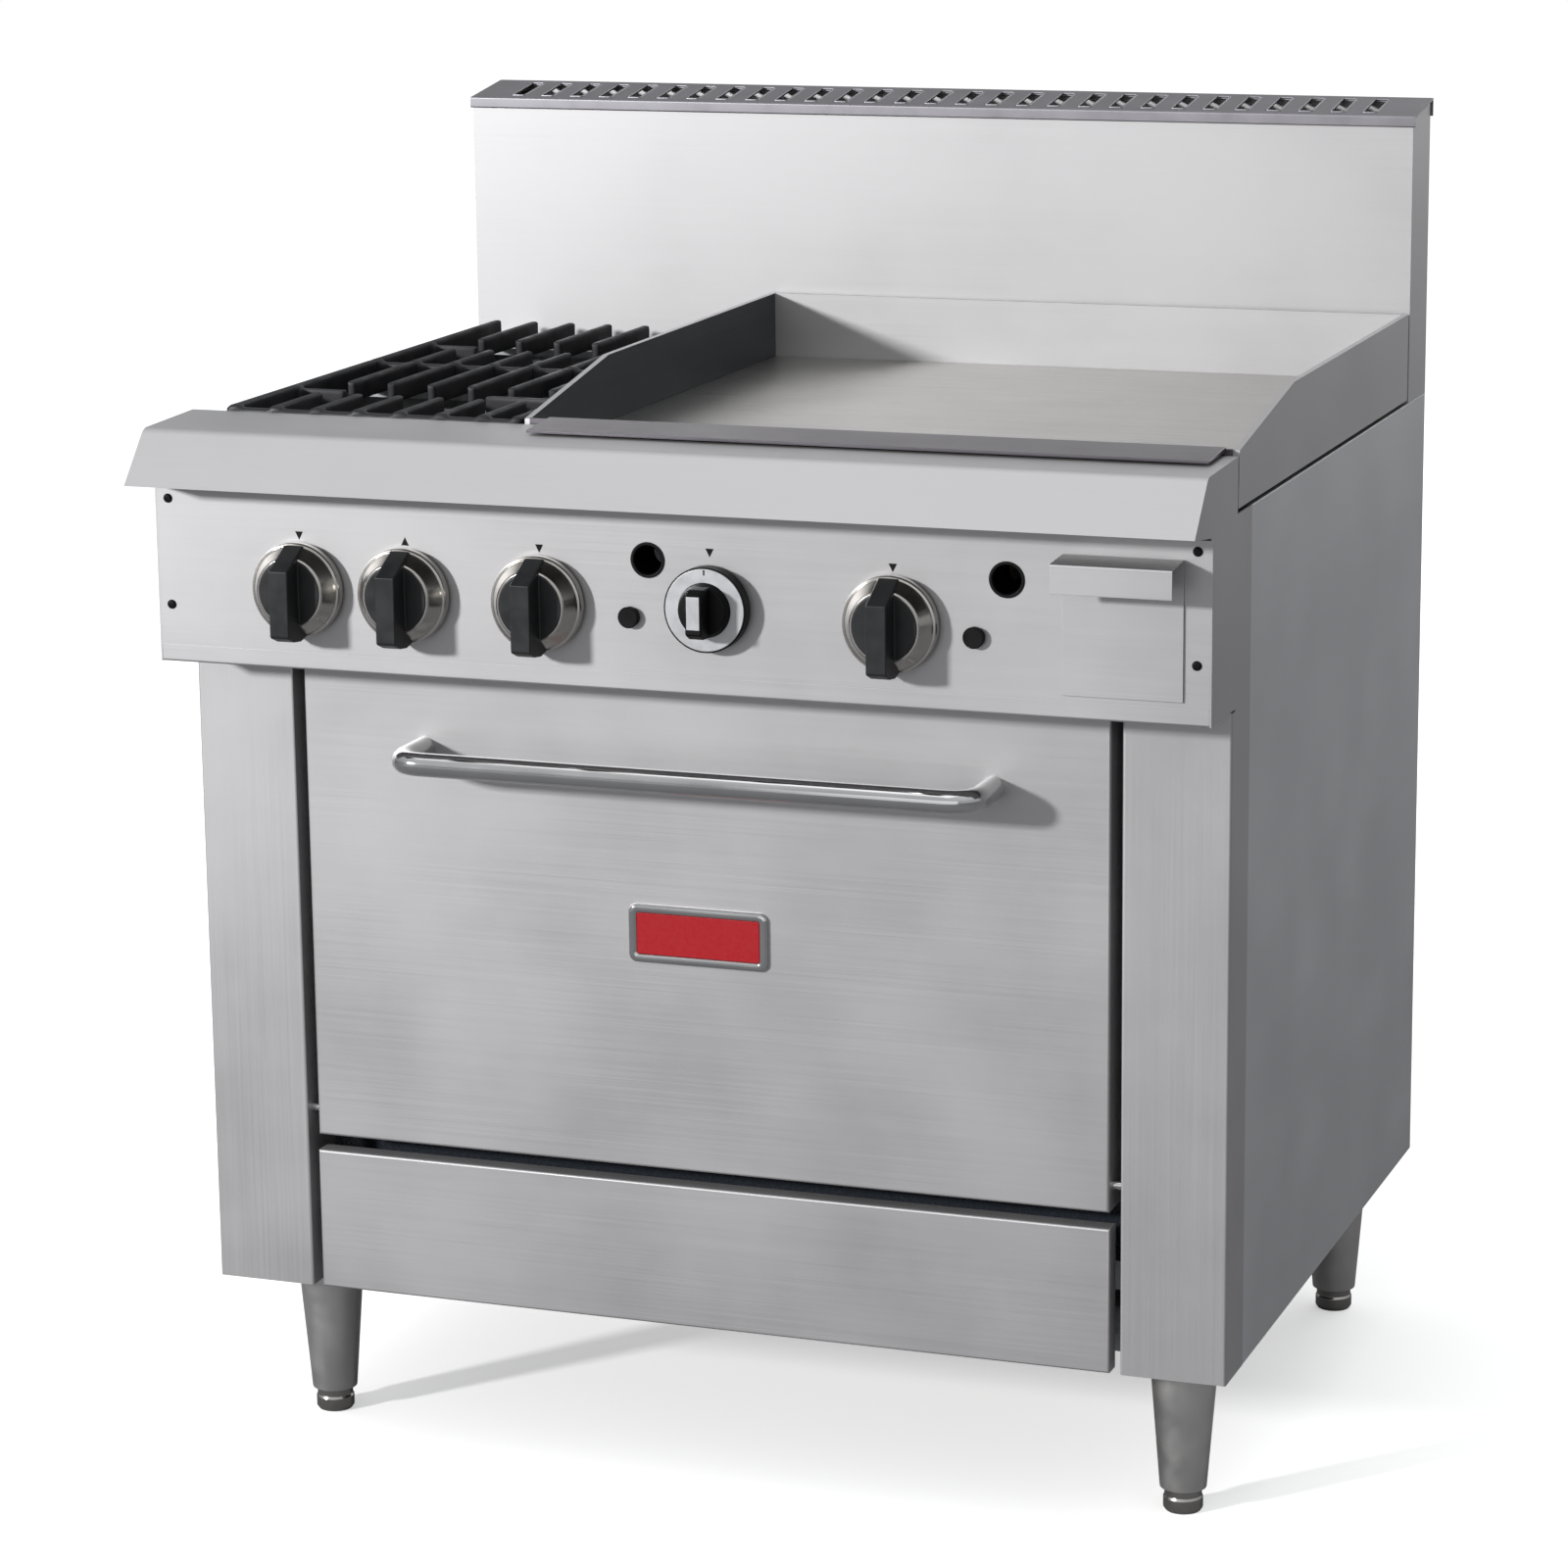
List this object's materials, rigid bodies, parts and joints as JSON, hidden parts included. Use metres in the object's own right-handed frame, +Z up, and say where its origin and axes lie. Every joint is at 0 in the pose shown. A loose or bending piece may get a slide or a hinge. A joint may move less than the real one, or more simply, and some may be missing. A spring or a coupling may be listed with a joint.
{
  "type": "commercial gas range",
  "caption": "Free-standing restaurant gas range with open burners beside a griddle plate, a control panel with lever knobs, a drop-down oven door, a slotted rear flue and tapered legs.",
  "frame": {"origin": "on the floor, at the middle of the overall footprint", "axes": "+X to the user's right, +Y to the back of the range, +Z up"},
  "size_m": [0.918, 0.8386, 1.1434],
  "materials": {
    "brushed_stainless": "brushed",
    "galvanised_steel": "matt galvanised",
    "dark_flue_steel": "satin dark",
    "black_cast_iron": "rough casting",
    "griddle_steel": "ground",
    "black_pipe": "matt",
    "valve_brass": "satin",
    "grey_enamel": "vitreous enamel",
    "chrome_wire": "bright",
    "mineral_wool": "fibrous",
    "gasket_rope": "braided glass fibre",
    "polished_steel": "polished",
    "charcoal_plastic": "moulded",
    "black_plastic": "moulded",
    "red_enamel": "gloss enamel",
    "aluminised_steel": "matt"
  },
  "bodies": {
    "cabinet": {"base_frame": "galvanised_steel", "hob_frame": "aluminised_steel", "side_panel_right": "brushed_stainless", "side_panel_left": "brushed_stainless", "front_pillar_right": "brushed_stainless", "front_pillar_left": "brushed_stainless", "back_panel": "galvanised_steel", "control_box": "brushed_stainless", "bull_nose": "brushed_stainless", "control_panel": "brushed_stainless", "panel_screws": "black_pipe", "port_grommets": "black_plastic", "gas_manifold": "black_pipe", "gas_valves": "valve_brass", "oven_thermostat": "valve_brass", "gas_inlet_pipe": "black_pipe", "burner_front": "black_cast_iron", "burner_rear": "black_cast_iron", "burner_tubes": "black_cast_iron", "spill_tray": "aluminised_steel", "griddle_plate": "griddle_steel", "griddle_splash": "brushed_stainless", "griddle_trough": "brushed_stainless", "griddle_burners": "aluminised_steel", "backguard": "brushed_stainless", "flue_cap": "dark_flue_steel", "oven_liner": "grey_enamel", "oven_floor": "grey_enamel", "rack_guide_left": "chrome_wire", "rack_guide_right": "chrome_wire", "oven_rack": "chrome_wire", "oven_burner": "black_cast_iron", "flame_spreader": "aluminised_steel", "oven_insulation": "mineral_wool", "hinge_pins": "polished_steel", "legs": "brushed_stainless", "leg_feet": "galvanised_steel"},
    "door": {"door_skin": "brushed_stainless", "door_liner": "grey_enamel", "door_insulation": "mineral_wool", "door_gasket": "gasket_rope", "door_handle": "polished_steel", "badge": "red_enamel"},
    "grease_drawer": {"grease_drawer": "brushed_stainless", "drawer_front": "brushed_stainless"},
    "grate_front": {"grate_front": "black_cast_iron"},
    "grate_rear": {"grate_rear": "black_cast_iron"},
    "kick_panel": {"kick_panel": "brushed_stainless"},
    "igniter_left": {"igniter_button_left": "black_plastic"},
    "igniter_right": {"igniter_button_right": "black_plastic"},
    "thermostat_control": {"thermostat_knob": "black_plastic", "thermostat_dial": "brushed_stainless"},
    "burner_control_left": {"burner_knob_left": "charcoal_plastic", "burner_skirt_left": "brushed_stainless"},
    "burner_control_right": {"burner_knob_right": "charcoal_plastic", "burner_skirt_right": "brushed_stainless"},
    "griddle_control_left": {"griddle_knob_left": "charcoal_plastic", "griddle_skirt_left": "brushed_stainless"},
    "griddle_control_right": {"griddle_knob_right": "charcoal_plastic", "griddle_skirt_right": "brushed_stainless"}
  },
  "joints": [
    {"name": "oven_door_hinge", "type": "hinge", "parent": "cabinet", "child": "door", "pos_m": [0, -0.28665, 0.31], "axis": [1, 0, 0], "range_deg": [0, 90]},
    {"name": "burner_control_left_turn", "type": "hinge", "parent": "cabinet", "child": "burner_control_left", "pos_m": [-0.3247, -0.36465, 0.786], "axis": [0, -1, 0], "range_deg": [0, 90]},
    {"name": "burner_control_right_turn", "type": "hinge", "parent": "cabinet", "child": "burner_control_right", "pos_m": [-0.2286, -0.36465, 0.786], "axis": [0, -1, 0], "range_deg": [0, 90]},
    {"name": "griddle_control_left_turn", "type": "hinge", "parent": "cabinet", "child": "griddle_control_left", "pos_m": [-0.1089, -0.36465, 0.786], "axis": [0, -1, 0], "range_deg": [0, 90]},
    {"name": "griddle_control_right_turn", "type": "hinge", "parent": "cabinet", "child": "griddle_control_right", "pos_m": [0.1952, -0.36465, 0.786], "axis": [0, -1, 0], "range_deg": [0, 90]},
    {"name": "thermostat_turn", "type": "hinge", "parent": "cabinet", "child": "thermostat_control", "pos_m": [0.0397, -0.36465, 0.79], "axis": [0, -1, 0], "range_deg": [0, 270]},
    {"name": "igniter_left_press", "type": "slide", "parent": "cabinet", "child": "igniter_left", "axis": [0, 1, 0], "range_m": [0, 0.003], "stiffness_N_per_m": 500},
    {"name": "igniter_right_press", "type": "slide", "parent": "cabinet", "child": "igniter_right", "axis": [0, 1, 0], "range_m": [0, 0.003], "stiffness_N_per_m": 500},
    {"name": "grease_drawer_slide", "type": "slide", "parent": "cabinet", "child": "grease_drawer", "axis": [0, -1, 0], "range_m": [0, 0.3]},
    {"name": "grate_front_lift", "type": "slide", "parent": "cabinet", "child": "grate_front", "axis": [0, 0, 1], "range_m": [0, 0.15]},
    {"name": "grate_rear_lift", "type": "slide", "parent": "cabinet", "child": "grate_rear", "axis": [0, 0, 1], "range_m": [0, 0.15]},
    {"name": "kick_panel_pull", "type": "slide", "parent": "cabinet", "child": "kick_panel", "axis": [0, -1, 0], "range_m": [0, 0.12]}
  ]
}
